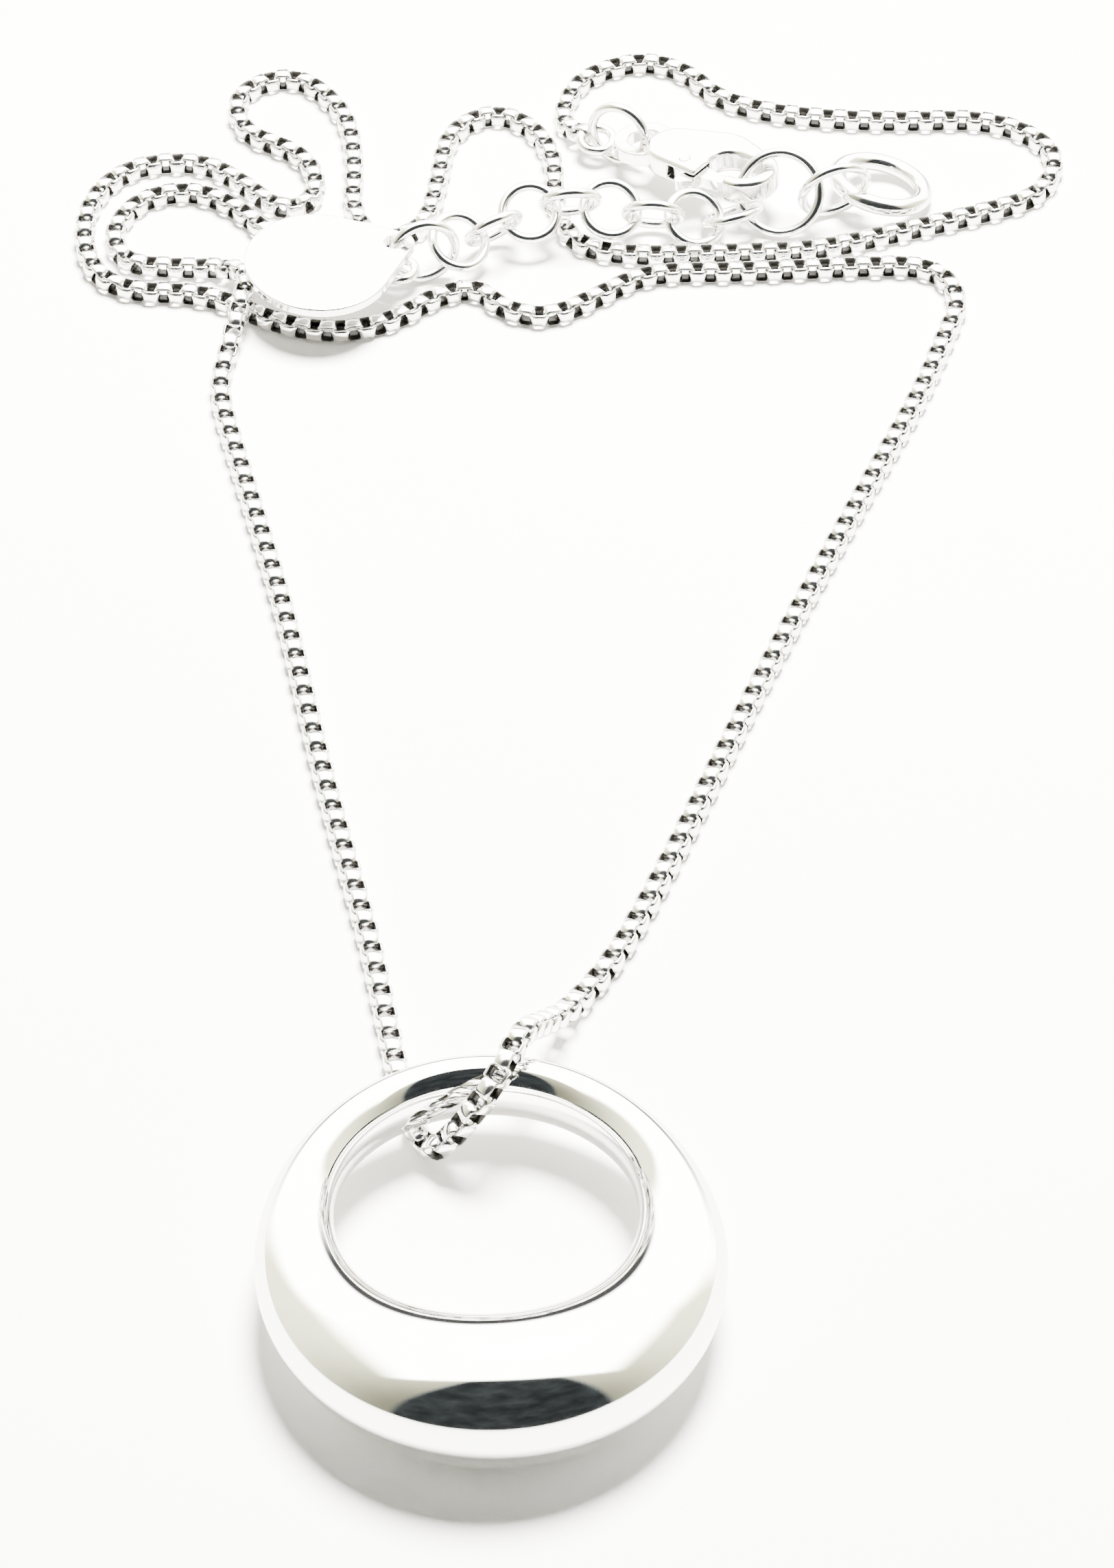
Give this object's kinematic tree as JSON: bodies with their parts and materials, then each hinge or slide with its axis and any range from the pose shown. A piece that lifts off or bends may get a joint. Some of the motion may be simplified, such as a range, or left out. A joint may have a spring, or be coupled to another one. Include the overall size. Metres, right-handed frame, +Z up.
{
  "type": "open circle pendant necklace",
  "caption": "Polished open circle pendant, thicker at the bottom, threaded on a fine box chain with an extender, lobster clasp and blank tag, lying loose.",
  "frame": {"origin": "centre of the pendant's round opening, on the surface that everything lies on", "axes": "+Z up from the surface, +Y from the pendant towards the gathered chain, +X to the right seen from the pendant's side"},
  "size_m": [0.0605, 0.1143, 0.0066],
  "materials": {
    "pendant_silver": "mirror-polished silver",
    "chain_silver": "polished silver box chain",
    "link_silver": "polished silver wire",
    "tag_silver": "polished silver sheet, blank",
    "clasp_silver": "polished cast silver"
  },
  "bodies": {
    "necklace": {"pendant_ring": "pendant_silver", "chain_pile": "chain_silver", "chain_strands": "chain_silver", "end_ring_clasp": "link_silver", "end_ring_tag": "link_silver", "jump_ring_clasp": "link_silver", "jump_ring_tag": "link_silver", "extender_link_1": "link_silver", "extender_link_2": "link_silver", "extender_link_3": "link_silver", "extender_link_4": "link_silver", "extender_link_5": "link_silver", "extender_link_6": "link_silver", "extender_link_7": "link_silver", "extender_link_8": "link_silver", "hook_ring": "link_silver", "joining_ring": "link_silver", "last_ring": "link_silver", "tag": "tag_silver", "clasp_body": "clasp_silver", "clasp_pin": "clasp_silver"},
    "lever": {"clasp_lever": "clasp_silver"}
  },
  "joints": [
    {"name": "lever_hinge", "type": "hinge", "parent": "necklace", "child": "lever", "pos_m": [0.01116, 0.08535, 0.00236], "axis": [-0.0835, 0.0629, 0.9945], "range_deg": [0, 14], "stiffness_Nm_per_rad": 0.0005, "springref_deg": -17.19}
  ]
}
